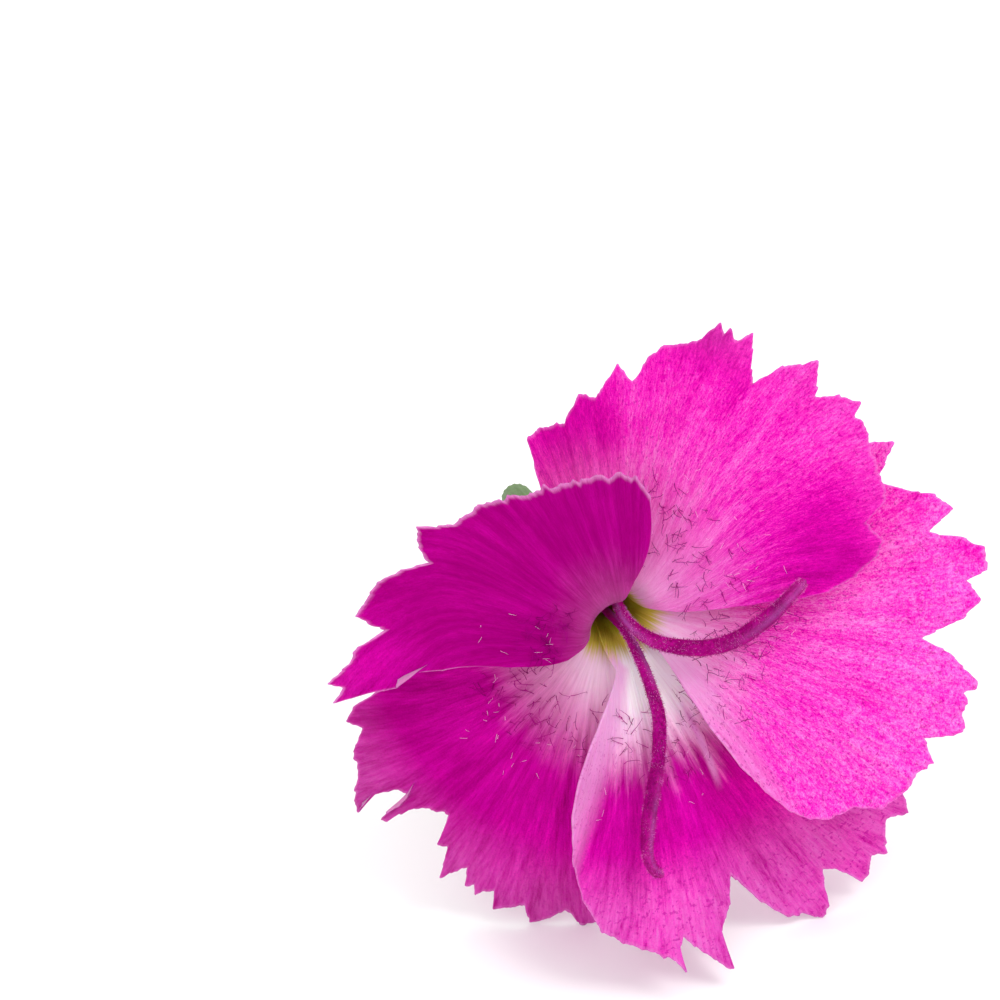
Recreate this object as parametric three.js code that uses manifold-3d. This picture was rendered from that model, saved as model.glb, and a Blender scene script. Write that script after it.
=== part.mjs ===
// A cut single carnation: one five-petalled flower head with its calyx and a short length of stem,
// lying on a flat surface on the teeth of its lower petals and the cut end of its stem.
//
// Everything is drawn in the face frame: x to the right and y up across the open flower, z towards
// whoever looks into it, with the mouth of the flower tube at the origin. The last lines lean that
// frame back into the resting pose, +Z up, with the origin under the middle of the whole flower.
import * as THREE from "three";
import { mergeVertices } from "three/addons/utils/BufferGeometryUtils.js";
import Module from "manifold-3d";

const wasm = await Module();
wasm.setup();

// ---------------------------------------------------------------- driving dimensions, mm and degrees
const PETAL_THICKNESS = 0.4;
const CLEARANCE = 0.32; // between neighbours that touch on the real flower
const CLAW_RADIUS = 1.75; // middle of the narrow petal claws, which line the tube
const CLAW_HALF_WIDTH = 28; // of one claw, seen from the tube's axis
const MOUTH_HALF_WIDTH = 42; // of one blade where its bend ends
const BEND_RADIUS = 2.3; // where a claw turns outwards into the blade
const BLADE_REACH = 23.8; // of the longest tooth, from the middle of the mouth
const BLADE_LIFT = 0.45; // how far a blade's edge passes over or under its neighbour's at the mouth
const TUBE_TILT = 15; // between the tube and the direction the flower faces
const TUBE_TILT_TOWARDS = 131; // the side to which the tube runs away, measured across the face

const CALYX_WALL = 0.4;
const CALYX_TOP = 4.2; // depth of its tooth tips under the mouth
const CALYX_LENGTH = 16.6;
const CALYX_TOOTH = 3.6;
const CALYX_TEETH = 5;
const CALYX_BELLY = 0.15; // how much wider it is halfway down
const CALYX_FLOOR = 1.8;
const CALYX_CHAMFER = 0.6; // inside, round its floor

const OVARY_RADIUS = 1.05;
const OVARY_LENGTH = 8.0;
const STYLE_RADIUS = 0.4;
const STYLE_SPREAD = 0.25; // of each style's foot from the tube's axis
const STYLE_ROOT = 1.2; // how far a style's foot is sunk into the ovary

const BRACT_LENGTH = 9;
const BRACT_HALF_WIDTH = 50; // seen from the tube's axis
const BRACT_THICKNESS = 0.3;

const STEM_RADIUS = 1.15;
const STEM_LENGTH = 29.5;
const STEM_STRAIGHTEN = 0.62; // share of the tube's tilt that the stem has lost at its cut end

const LEAN = 60.5; // how far the face is leaned back from looking straight up
const ROLL = -5; // turn of the whole flower about the direction it faces

// Each blade runs from its left corner over its teeth to its right corner, seen from the front with
// the claw down. A corner is [direction, reach], a tooth [direction, reach, notch behind it]. Reaches
// are drawn at the flower's usual size and are scaled to BLADE_REACH.
// slope and curl are the blade's rise towards the viewer at its left edge, middle and right edge,
// fold is the direction of a crease and the added slope beyond it, lip moves the mouth end of a blade
// off the tube's ring, and over says whether its left and right edges lie over (1) or under (-1) the
// next petal.
const PETALS = [
  {
    name: "petal_left",
    claw: 140,
    over: [1, 1],
    slope: [0.2, 0.5, 1.1],
    curl: [0, 0, 0],
    lip: [0.9, -0.9, 2.2],
    corners: [[202, 12.4], [73, 5.6]],
    teeth: [
      [198.5, 18.2, 0.9], [194.5, 18.2, 0.9], [190.5, 16.7, 2.2], [182.5, 15.8, 0.6], [174, 14.7, 1.9],
      [159, 13.0, 0.9], [148, 10.9, 0.3], [134, 9.3, 0.2], [122, 8.7, 0.2], [109, 8.4, 0.2],
      [95, 8.3, 0.2], [82, 8.3, 0.1], [76, 7.4, 0.1],
    ],
  },
  {
    name: "petal_top",
    claw: 68,
    over: [-1, 1],
    slope: [0.3, 0.34, 0.24],
    curl: [0, -1.6, -1.2],
    corners: [[123, 7.6], [2, 11.5]],
    teeth: [
      [113, 12.0, 0.7], [99, 13.3, 0.7], [89, 14.9, 1.2], [79, 16.5, 0.3], [69, 18.8, 0.6],
      [63, 19.1, 2.5], [50, 19.7, 1.4], [39, 19.7, 0.6], [32, 18.9, 0.4], [22, 18.1, 1.3],
      [13, 17.1, 0.3], [7, 15.1, 0.1],
    ],
  },
  {
    name: "petal_right",
    claw: -4,
    over: [-1, 1],
    slope: [-0.04, 0.08, 0.15],
    curl: [0, -0.6, -0.4],
    corners: [[40, 11.5], [-52, 11.5]],
    teeth: [
      [31, 20.6, 1.6], [17, 22.1, 1.4], [9, 23.6, 0.5], [5, 23.5, 1.1], [0.5, 23.0, 2.8],
      [-12.5, 23.2, 0.5], [-19, 23.3, 1.6], [-26, 22.2, 0.5], [-33, 21.5, 0.2], [-38, 20.6, 0.2],
      [-47, 18.2, 0.1], [-51, 15.1, 0.1],
    ],
  },
  {
    name: "petal_bottom",
    claw: -76,
    over: [-1, 1],
    slope: [-0.2, -0.06, 0.06],
    curl: [-2.6, -0.8, 1.0],
    fold: [-66, 0.18],
    corners: [[-26, 12], [-100.5, 12.0]],
    teeth: [
      [-35, 22.8, 0.9], [-42, 23.2, 0.7], [-47.5, 23.5, 2.1], [-55.5, 23.7, 0.8], [-61, 22.2, 4.2],
      [-71, 23.8, 2.2], [-78.5, 23.0, 0.6], [-83, 21.5, 0.1], [-88, 20.8, 0.1], [-93, 19.9, 0.1],
      [-97, 17.8, 0], [-99.5, 15.0, 0],
    ],
  },
  {
    name: "petal_lower_left",
    claw: -148,
    over: [-1, -1],
    slope: [-0.1, -0.14, -0.04],
    curl: [-1, -2.4, -0.4],
    corners: [[-84, 11], [-167, 11.5]],
    teeth: [
      [-90, 19.6, 0.3], [-95, 20.6, 1.0], [-104, 20.9, 1.0], [-110.5, 20.8, 0.9], [-116, 20.4, 0.9],
      [-122, 20.4, 1.4], [-127, 18.9, 1.4], [-137, 20.1, 2.5], [-141, 20.7, 1.2], [-147, 19.4, 1.2],
      [-157, 18.2, 1.0], [-163, 15.4, 0.2],
    ],
  },
];

// The two styles, above the one foot that each has on the ovary: [x, y, z] in the face frame.
const STYLES = [
  [
    [-0.2, 1.0, -3.5], [0.3, 0.2, -0.4], [0.9, -0.9, 1.2], [2.1, -1.9, 1.9], [3.4, -2.4, 2.2],
    [5.1, -2.6, 2.4], [6.7, -2.4, 2.6], [8.1, -1.8, 2.9], [9.7, -0.6, 3.3], [10.9, 0.6, 3.6], [11.9, 1.7, 3.7],
  ],
  [
    [-0.9, 0.3, -3.5], [-0.1, -0.6, -1.3], [0.9, -1.7, 0.2], [1.8, -3.5, 1.1], [2.5, -5.4, 1.6],
    [2.9, -7.2, 2.2], [2.8, -9.6, 2.8], [2.6, -10.8, 3.2], [2.2, -13.2, 3.7], [2.1, -15, 4.2],
    [2.4, -16.1, 4.6], [3.1, -16.6, 5.0],
  ],
];

// ---------------------------------------------------------------- mesh fineness
const CLAW_ROWS = 2;
const BEND_ROWS = 4;
const BLADE_ROWS = 8;
const PETAL_ROWS = CLAW_ROWS + BEND_ROWS + BLADE_ROWS;
const STYLE_STEPS = 26;
const STYLE_SIDES = 8;
const CALYX_SIDES = 8 * CALYX_TEETH;

const radians = THREE.MathUtils.degToRad;
const lerp = THREE.MathUtils.lerp;
const clamp = THREE.MathUtils.clamp;
const smoothstep = THREE.MathUtils.smoothstep;

// Where the tube's axis is, this far behind the mouth.
const tubeDirection = new THREE.Vector3(
  Math.cos(radians(TUBE_TILT_TOWARDS)) * Math.tan(radians(TUBE_TILT)),
  Math.sin(radians(TUBE_TILT_TOWARDS)) * Math.tan(radians(TUBE_TILT)),
  -1,
);

function onTubeAxis(depth) {
  return tubeDirection.clone().multiplyScalar(depth);
}

// Depths along the tube that follow from the sizes above. The tube's sections are drawn square to the
// face, so the lowest edge of the claws' ring reaches deeper along the tube than its middle.
const clawOuter = CLAW_RADIUS + PETAL_THICKNESS / 2;
const calyxInner = clawOuter + CLEARANCE;
const calyxOuter = calyxInner + CALYX_WALL;
const calyxBase = CALYX_TOP + CALYX_LENGTH;
const tubeFloor = calyxBase - CALYX_FLOOR;
const clawFoot = tubeFloor - CALYX_CHAMFER - CLEARANCE - clawOuter * Math.sin(radians(TUBE_TILT));
const clawDepth = clawFoot * Math.cos(radians(TUBE_TILT));
const ovaryFoot = tubeFloor - CLEARANCE;
const ovaryTop = ovaryFoot - OVARY_LENGTH;

// ---------------------------------------------------------------- petals
// The value at s of a smooth curve through three values at the left edge, the middle and the right edge.
function across([left, middle, right], s) {
  const bow = middle - (left + right) / 2;
  return lerp(left, right, s) + 4 * bow * s * (1 - s);
}

// The ends of a blade's spokes in order: its left corner, each tooth's tip and notch, its right corner.
const drawnReach = Math.max(...PETALS.flatMap(({ teeth }) => teeth.map(([, reach]) => reach)));

function spokesOf({ corners, teeth }) {
  const spokes = [corners[0]];
  teeth.forEach(([direction, reach, notch], i) => {
    spokes.push([direction, reach]);
    if (i + 1 < teeth.length) {
      const [nextDirection, nextReach] = teeth[i + 1];
      spokes.push([(direction + nextDirection) / 2, (reach + nextReach) / 2 - notch]);
    }
  });
  spokes.push(corners[1]);
  return spokes.map(([direction, reach]) => [direction, (reach * BLADE_REACH) / drawnReach]);
}

// The end of the spoke at s, between the spokes that bound the teeth.
function spokeEnd(spokes, s) {
  const first = spokes[0][0];
  const last = spokes[spokes.length - 1][0];
  const direction = lerp(first, last, s);
  let i = 1;
  while (i < spokes.length - 1 && spokes[i][0] > direction) i += 1;
  const [d0, r0] = spokes[i - 1];
  const [d1, r1] = spokes[i];
  return [direction, lerp(r0, r1, clamp((direction - d0) / (d1 - d0), 0, 1))];
}

// A point on the middle surface of a petal: s runs across it from 0 to 1, row from the claw's foot
// to the teeth.
function petalPoint(petal, spokes, s, row) {
  const bladeStart = CLAW_RADIUS + BEND_RADIUS;
  const lift = BLADE_LIFT * lerp(petal.over[0], petal.over[1], smoothstep(s, 0.1, 0.9));
  let direction = petal.claw + CLAW_HALF_WIDTH * (1 - 2 * s);
  let radius = CLAW_RADIUS;
  let drop = BEND_RADIUS;
  let rise = 0;
  if (row < CLAW_ROWS) {
    drop = lerp(clawDepth, BEND_RADIUS, row / CLAW_ROWS);
  } else if (row < CLAW_ROWS + BEND_ROWS) {
    const turn = ((row - CLAW_ROWS) / BEND_ROWS) * (Math.PI / 2);
    radius = bladeStart - BEND_RADIUS * Math.cos(turn);
    drop = BEND_RADIUS * (1 - Math.sin(turn));
    direction += (MOUTH_HALF_WIDTH - CLAW_HALF_WIDTH) * (1 - Math.cos(turn)) * (1 - 2 * s);
  } else {
    const along = (row - CLAW_ROWS - BEND_ROWS) / BLADE_ROWS;
    const [endDirection, reach] = spokeEnd(spokes, s);
    const mouthDirection = petal.claw + MOUTH_HALF_WIDTH * (1 - 2 * s);
    direction = lerp(mouthDirection, endDirection, 1 - (1 - along) ** 2);
    radius = lerp(bladeStart, reach, along);
    drop = 0;
    const out = radius - bladeStart;
    const [foldDirection, foldSlope] = petal.fold ?? [0, 0];
    const beyondFold = smoothstep(foldDirection - endDirection, -4, 8);
    rise = (across(petal.slope, s) + foldSlope * beyondFold) * out + across(petal.curl, s) * (out / 16) ** 2;
  }
  const raised = clamp(1 - drop / (2 * BEND_RADIUS), 0, 1); // 1 on the blade, 0 well down the claw
  const fade = radius > bladeStart ? clamp(1 - (radius - bladeStart) / 10, 0, 1) ** 2 : raised;
  const [lipX, lipY, lipZ] = petal.lip ?? [0, 0, 0];
  const axis = onTubeAxis(drop);
  return new THREE.Vector3(
    axis.x + radius * Math.cos(radians(direction)) + lipX * fade,
    axis.y + radius * Math.sin(radians(direction)) + lipY * fade,
    -drop + rise + (lipZ + lift) * raised,
  );
}

// A thin box whose vertices are moved onto both sides of a surface. surface(s, row) gives the middle.
function sheet(columns, rows, thickness, surface) {
  const geometry = new THREE.BoxGeometry(1, 1, 1, columns.length - 1, rows, 1);
  geometry.deleteAttribute("normal");
  geometry.deleteAttribute("uv");
  const position = geometry.getAttribute("position");
  const step = 0.01;
  for (let i = 0; i < position.count; i += 1) {
    const s = columns[Math.round((position.getX(i) + 0.5) * (columns.length - 1))];
    const row = (position.getY(i) + 0.5) * rows;
    const side = Math.sign(position.getZ(i));
    const s0 = clamp(s - step, 0, 1);
    const s1 = clamp(s + step, 0, 1);
    const row0 = clamp(row - step * rows, 0, rows);
    const row1 = clamp(row + step * rows, 0, rows);
    const acrossIt = surface(s1, row).sub(surface(s0, row));
    const alongIt = surface(s, row1).sub(surface(s, row0));
    const normal = acrossIt.cross(alongIt).normalize();
    const point = surface(s, row).addScaledVector(normal, (side * thickness) / 2);
    position.setXYZ(i, point.x, point.y, point.z);
  }
  return mergeVertices(geometry, 1e-4);
}

function petalGeometry(petal) {
  const spokes = spokesOf(petal);
  const first = spokes[0][0];
  const last = spokes[spokes.length - 1][0];
  const columns = spokes.map(([direction]) => (direction - first) / (last - first));
  return sheet(columns, PETAL_ROWS, PETAL_THICKNESS, (s, row) => petalPoint(petal, spokes, s, row));
}

// ---------------------------------------------------------------- calyx, bracts and stem
// The closed profile of the calyx, from the axis under its floor, up outside and down inside.
function calyxGeometry() {
  const profile = [
    [0, -calyxBase],
    [STEM_RADIUS, -calyxBase],
    [calyxOuter - CALYX_WALL, -calyxBase + 1],
    [calyxOuter + CALYX_BELLY / 2, -calyxBase + 3],
    [calyxOuter + CALYX_BELLY, -calyxBase + CALYX_LENGTH / 2],
    [calyxOuter, -CALYX_TOP - CALYX_TOOTH],
    [calyxOuter, -CALYX_TOP],
    [calyxInner, -CALYX_TOP],
    [calyxInner, -CALYX_TOP - CALYX_TOOTH],
    [calyxInner, -tubeFloor + CALYX_CHAMFER],
    [calyxInner - CALYX_CHAMFER, -tubeFloor],
    [0, -tubeFloor],
  ].map(([radius, height]) => new THREE.Vector2(radius, height));
  const geometry = new THREE.LatheGeometry(profile, CALYX_SIDES);
  geometry.deleteAttribute("normal");
  geometry.deleteAttribute("uv");
  const position = geometry.getAttribute("position");
  for (let i = 0; i < position.count; i += 1) {
    if (position.getY(i) < -CALYX_TOP - 0.01) continue;
    const turn = Math.atan2(position.getX(i), position.getZ(i)) / (2 * Math.PI);
    const inTooth = (((turn * CALYX_TEETH) % 1) + 1) % 1;
    const fromTip = Math.abs(2 * inTooth - 1);
    position.setY(i, -CALYX_TOP - 0.95 * CALYX_TOOTH * fromTip);
  }
  return mergeVertices(geometry, 1e-4);
}

// One bract: widest low down, drawn out to a point, wrapped round the calyx at its own radius.
function bractGeometry(pair) {
  const outwards = CLEARANCE + BRACT_THICKNESS / 2 + pair * (BRACT_THICKNESS + CLEARANCE);
  const wrapped = calyxOuter + CALYX_BELLY + outwards;
  const footRadius = STEM_RADIUS + outwards;
  const rows = 8;
  const columns = [0, 0.125, 0.25, 0.375, 0.5, 0.625, 0.75, 0.875, 1];
  const foot = -calyxBase - outwards;
  return sheet(columns, rows, BRACT_THICKNESS, (s, row) => {
    const along = row / rows;
    const wide = 0.12 + 0.88 * (1 - along) * (1 + 1.6 * along);
    const turn = radians(BRACT_HALF_WIDTH) * wide * (2 * s - 1);
    const spread = wrapped - (wrapped - footRadius) * (1 - along) ** 8 + 0.5 * along ** 3;
    return new THREE.Vector3(Math.sin(turn) * spread, foot + BRACT_LENGTH * along, Math.cos(turn) * spread);
  });
}

// The stem's middle line leaves the calyx along the tube and slowly turns to run straight back.
function stemLine() {
  const top = onTubeAxis(calyxBase + CLEARANCE);
  const points = [0, 1, 2, 3, 4].map((i) => {
    const back = (i / 4) * STEM_LENGTH;
    const kept = back * (1 - (STEM_STRAIGHTEN * back) / STEM_LENGTH);
    return new THREE.Vector3(top.x + tubeDirection.x * kept, top.y + tubeDirection.y * kept, top.z - back);
  });
  return new THREE.CatmullRomCurve3(points);
}

function stemGeometry() {
  const section = new THREE.Shape();
  section.absarc(0, 0, STEM_RADIUS, 0, 2 * Math.PI);
  return new THREE.ExtrudeGeometry(section, { steps: 12, curveSegments: 6, extrudePath: stemLine() });
}

// ---------------------------------------------------------------- pistil: ovary and two styles in one
// side is 1 for the style that stands to the upper right of the tube's axis and -1 for the other.
function styleGeometry(points, side) {
  const outwards = radians(TUBE_TILT_TOWARDS - 90);
  const foot = onTubeAxis((ovaryTop + STYLE_ROOT) * Math.cos(radians(TUBE_TILT)));
  foot.x += side * STYLE_SPREAD * Math.cos(outwards);
  foot.y += side * STYLE_SPREAD * Math.sin(outwards);
  const line = new THREE.CatmullRomCurve3([foot, ...points.map((point) => new THREE.Vector3(...point))]);
  const frames = line.computeFrenetFrames(STYLE_STEPS);
  const geometry = new THREE.CylinderGeometry(1, 1, 1, STYLE_SIDES, STYLE_STEPS);
  geometry.deleteAttribute("normal");
  geometry.deleteAttribute("uv");
  const position = geometry.getAttribute("position");
  for (let i = 0; i < position.count; i += 1) {
    const step = Math.round((position.getY(i) + 0.5) * STYLE_STEPS);
    const along = step / STYLE_STEPS;
    const radius = STYLE_RADIUS * (along < 0.6 ? lerp(0.85, 1, along / 0.6) : lerp(1, 0.55, (along - 0.6) / 0.4));
    const point = line.getPointAt(along);
    point.addScaledVector(frames.normals[step], position.getX(i) * radius);
    point.addScaledVector(frames.binormals[step], -position.getZ(i) * radius);
    position.setXYZ(i, point.x, point.y, point.z);
  }
  return mergeVertices(geometry, 1e-4);
}

function ovaryGeometry() {
  const steps = 9;
  const profile = [new THREE.Vector2(0, -ovaryFoot)];
  for (let i = 0; i < steps; i += 1) {
    const along = i / steps;
    const radius = OVARY_RADIUS * Math.sin(Math.PI * Math.min(0.5, 0.12 + along)) * Math.sqrt(1 - along ** 4);
    profile.push(new THREE.Vector2(radius, -ovaryFoot + OVARY_LENGTH * along));
  }
  profile.push(new THREE.Vector2(0, -ovaryTop));
  return new THREE.LatheGeometry(profile, 16);
}

function toSolid(geometry, matrix) {
  const bare = new THREE.BufferGeometry();
  bare.setAttribute("position", geometry.getAttribute("position").clone());
  bare.setIndex(geometry.index);
  const merged = mergeVertices(bare.applyMatrix4(matrix), 1e-4);
  return new wasm.Manifold(
    new wasm.Mesh({
      numProp: 3,
      vertProperties: merged.getAttribute("position").array,
      triVerts: new Uint32Array(merged.index.array),
    }),
  );
}

function toGeometry(solid) {
  const { vertProperties, triVerts } = solid.getMesh();
  const geometry = new THREE.BufferGeometry();
  geometry.setAttribute("position", new THREE.BufferAttribute(vertProperties, 3));
  geometry.setIndex(new THREE.BufferAttribute(triVerts, 1));
  return geometry;
}

function pistilGeometry(tubeMatrix) {
  let solid = toSolid(ovaryGeometry(), tubeMatrix);
  STYLES.forEach((points, i) => {
    solid = solid.add(toSolid(styleGeometry(points, 1 - 2 * i), new THREE.Matrix4()));
  });
  return toGeometry(solid);
}

// ---------------------------------------------------------------- the flower
const petalPink = { color: 0xf03cc0, roughness: 0.6 };
const styleMagenta = { color: 0xa6107a, roughness: 0.5 };
const calyxGreen = { color: 0x7f9a5a, roughness: 0.6 };
const stemGreen = { color: 0x8aa66a, roughness: 0.55 };

function named(name, geometry, finish) {
  const mesh = new THREE.Mesh(geometry, new THREE.MeshStandardMaterial({ metalness: 0, ...finish }));
  mesh.name = name;
  return mesh;
}

const flower = new THREE.Group();
for (const petal of PETALS) flower.add(named(petal.name, petalGeometry(petal), petalPink));

const tube = new THREE.Group(); // its y axis runs along the tube towards the mouth
const towardsMouth = tubeDirection.clone().negate().normalize();
tube.quaternion.setFromUnitVectors(new THREE.Vector3(0, 1, 0), towardsMouth);
tube.updateMatrix();
tube.add(named("calyx", calyxGeometry(), calyxGreen));
for (let i = 0; i < 4; i += 1) {
  const bract = named(`bract_${i + 1}`, bractGeometry(i % 2), calyxGreen);
  bract.rotation.y = (i * Math.PI) / 2;
  tube.add(bract);
}
flower.add(tube);
flower.add(named("pistil", pistilGeometry(tube.matrix), styleMagenta));
flower.add(named("stem", stemGeometry(), stemGreen));

flower.rotation.set(radians(LEAN), 0, radians(ROLL), "XYZ");

const part = new THREE.Group();
part.add(flower);
part.updateMatrixWorld(true);
const extent = new THREE.Box3().setFromObject(part, true);
flower.position.set(
  -(extent.min.x + extent.max.x) / 2,
  -(extent.min.y + extent.max.y) / 2,
  -extent.min.z,
);

export default part;
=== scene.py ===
# %% [markdown]
# # A single carnation, cut and laid down
#
# This lesson dresses a finished CAD model of one single-flowered carnation: five toothed petals, a
# pistil with two long styles, a green calyx with four bracts, and a short length of stem. The CAD
# solids fix every size and place. Here each of them is replaced by a finer piece of the same form,
# with the ruffles, teeth, hairs and colours that a real flower has.

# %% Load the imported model
import math
import random
import bmesh
import bpy
from mathutils import Matrix, Vector, noise


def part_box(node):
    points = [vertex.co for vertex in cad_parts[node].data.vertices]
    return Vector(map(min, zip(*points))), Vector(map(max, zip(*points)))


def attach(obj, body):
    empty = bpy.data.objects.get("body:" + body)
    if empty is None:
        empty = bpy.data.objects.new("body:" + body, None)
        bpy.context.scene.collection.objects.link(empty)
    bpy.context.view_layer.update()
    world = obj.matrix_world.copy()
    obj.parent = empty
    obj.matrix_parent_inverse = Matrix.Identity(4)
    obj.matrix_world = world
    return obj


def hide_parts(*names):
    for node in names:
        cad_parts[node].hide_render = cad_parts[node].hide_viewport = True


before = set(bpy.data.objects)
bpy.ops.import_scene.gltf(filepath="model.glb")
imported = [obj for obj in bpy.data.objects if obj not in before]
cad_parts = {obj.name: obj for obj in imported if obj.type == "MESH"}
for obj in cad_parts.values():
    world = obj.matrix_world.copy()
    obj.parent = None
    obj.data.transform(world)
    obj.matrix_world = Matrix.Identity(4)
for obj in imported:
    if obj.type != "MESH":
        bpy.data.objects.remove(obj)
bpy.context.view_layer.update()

MM = 0.001


def put(name, data):
    """An object in the scene that shows a mesh, a curve, a lamp or a camera."""
    thing = bpy.data.objects.new(name, data)
    bpy.context.scene.collection.objects.link(thing)
    return thing


print("CAD nodes:", sorted(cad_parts))

# %% [markdown]
# ## The face frame
#
# A flower is easiest to draw looking straight into it: x to the right, y up across the open face,
# and z towards the eye, with the mouth of its tube at the origin, all in millimetres. The real
# flower lies on a table, so one matrix leans that drawing back and turns it a little, exactly as
# the CAD model does. Where the mouth ends up is measured on the frame's own stem, so the pieces
# made here land on the solids they replace.

# %% Leaning the face frame onto the table
LEAN = math.radians(60.5)
ROLL = math.radians(-5)
face_turn = Matrix.Rotation(LEAN, 4, "X") @ Matrix.Rotation(ROLL, 4, "Z")

TUBE_TILT = math.radians(15)
TUBE_TILT_TOWARDS = math.radians(131)
tube_direction = Vector((
    math.cos(TUBE_TILT_TOWARDS) * math.tan(TUBE_TILT),
    math.sin(TUBE_TILT_TOWARDS) * math.tan(TUBE_TILT),
    -1,
))

CLEARANCE = 0.32
CALYX_TOP = 4.2
CALYX_LENGTH = 16.6
CALYX_BASE = CALYX_TOP + CALYX_LENGTH
STEM_RADIUS = 1.15
STEM_LENGTH = 29.5
STEM_STRAIGHTEN = 0.62


def stem_middle(along):
    """The stem's middle line, from 0 at the calyx to 1 at the cut."""
    top = tube_direction * (CALYX_BASE + CLEARANCE)
    back = along * STEM_LENGTH
    kept = back * (1 - STEM_STRAIGHTEN * along)
    return Vector((top.x + tube_direction.x * kept, top.y + tube_direction.y * kept, top.z - back))


def middle_of(points):
    low = [min(p[i] for p in points) for i in range(3)]
    high = [max(p[i] for p in points) for i in range(3)]
    return Vector([(a + b) / 2 for a, b in zip(low, high)])


stem_ends = [face_turn @ stem_middle(0), face_turn @ stem_middle(1)]
frame_stem = middle_of(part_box("stem"))
mouth = frame_stem - middle_of(stem_ends) * MM
place = Matrix.Translation(mouth) @ face_turn @ Matrix.Scale(MM, 4)
print("mouth of the flower tube at", [round(v, 4) for v in mouth])

# %% [markdown]
# ## Camera, floor and light first
#
# The camera looks straight along the direction that the flower faces, which is down at the table by
# about thirty degrees, and it is rolled with the flower so that the face stands upright in the
# picture. A long lens keeps the petals from swelling towards the edges. Light is soft: one large
# lamp from the upper right models the petals, a weaker one from the left fills, and a bright even
# surrounding keeps the floor nearly white.

# %% Camera along the flower's axis
VIEW_WIDTH = 62.5
LENS = 200
SENSOR = 36
# The picture's middle, in the face frame: the flower sits to its lower right.
VIEW_MIDDLE = Vector((-7.0, 6.6, 0))

camera_data = bpy.data.cameras.new("camera")
camera_data.lens = LENS
camera_data.sensor_width = SENSOR
camera_distance = VIEW_WIDTH * LENS / SENSOR
camera = put("camera", camera_data)
face_turn_only = face_turn.to_quaternion().to_matrix().to_4x4()
camera_place = place @ (VIEW_MIDDLE + Vector((0, 0, camera_distance)))
camera.matrix_world = Matrix.Translation(camera_place) @ face_turn_only
camera_data.clip_start = 0.01
bpy.context.scene.camera = camera
print("camera", round(camera_distance), "mm away")


# %% Floor, lamps and surroundings
def lamp(name, where, size, power, colour):
    """A square area lamp, placed in the face frame and aimed at the flower's mouth."""
    data = bpy.data.lights.new(name, "AREA")
    data.size = size * MM
    data.energy = power
    data.color = colour
    thing = put(name, data)
    thing.location = place @ Vector(where)
    aim = mouth - thing.location
    thing.rotation_euler = aim.to_track_quat("-Z", "Y").to_euler()


lamp("key_lamp", (190, 230, 260), 160, 0.46, (1.0, 0.985, 0.97))
lamp("fill_lamp", (-150, 10, 330), 260, 0.24, (0.97, 0.98, 1.0))
lamp("top_lamp", (20, 300, 60), 260, 0.22, (1, 1, 1))

world = bpy.data.worlds.new("studio")
world.use_nodes = True
world.node_tree.nodes["Background"].inputs["Color"].default_value = (1, 1, 1, 1)
world.node_tree.nodes["Background"].inputs["Strength"].default_value = 0.98
bpy.context.scene.world = world
bpy.context.scene.view_settings.view_transform = "Standard"

floor_mesh = bpy.data.meshes.new("floor")
floor_shape = bmesh.new()
bmesh.ops.create_grid(floor_shape, x_segments=1, y_segments=1, size=3)
floor_shape.to_mesh(floor_mesh)
floor_shape.free()
floor = put("floor", floor_mesh)

# %% [markdown]
# ## Writing shader maths as plain expressions
#
# A petal's colour is worked out from where a point lies on the petal, so it takes a lot of small
# sums. Wrapping a node socket in a class that understands plus, minus and times lets those sums be
# written as ordinary Python. Every expression adds its Math nodes by itself. Anything that isn't
# arithmetic on plain numbers goes through one method that makes a node of any type.


# %% The Value class and the Finish class
class Value:
    """A socket that carries one number, usable in ordinary arithmetic."""

    def __init__(self, finish, socket):
        self.finish = finish
        self.socket = socket

    def math(self, operation, *others):
        inputs = dict(enumerate([self, *others]))
        return self.finish.node("ShaderNodeMath", {"operation": operation}, inputs)[0]

    def __add__(self, other):
        return self.math("ADD", other)

    def __sub__(self, other):
        return self.math("SUBTRACT", other)

    def __mul__(self, other):
        return self.math("MULTIPLY", other)

    def __radd__(self, other):
        return self.math("ADD", other)

    def __rmul__(self, other):
        return self.math("MULTIPLY", other)

    def __rsub__(self, other):
        return self.math("MULTIPLY", -1).math("ADD", other)

    def between(self, low, high):
        """0 where the value is at low, 1 where it is at high, with a soft step between."""
        settings = {"interpolation_type": "SMOOTHSTEP"}
        inputs = {0: self, "From Min": low, "From Max": high}
        return self.finish.node("ShaderNodeMapRange", settings, inputs)[0]

    def at_most(self, other):
        return self.math("MINIMUM", other)


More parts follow.
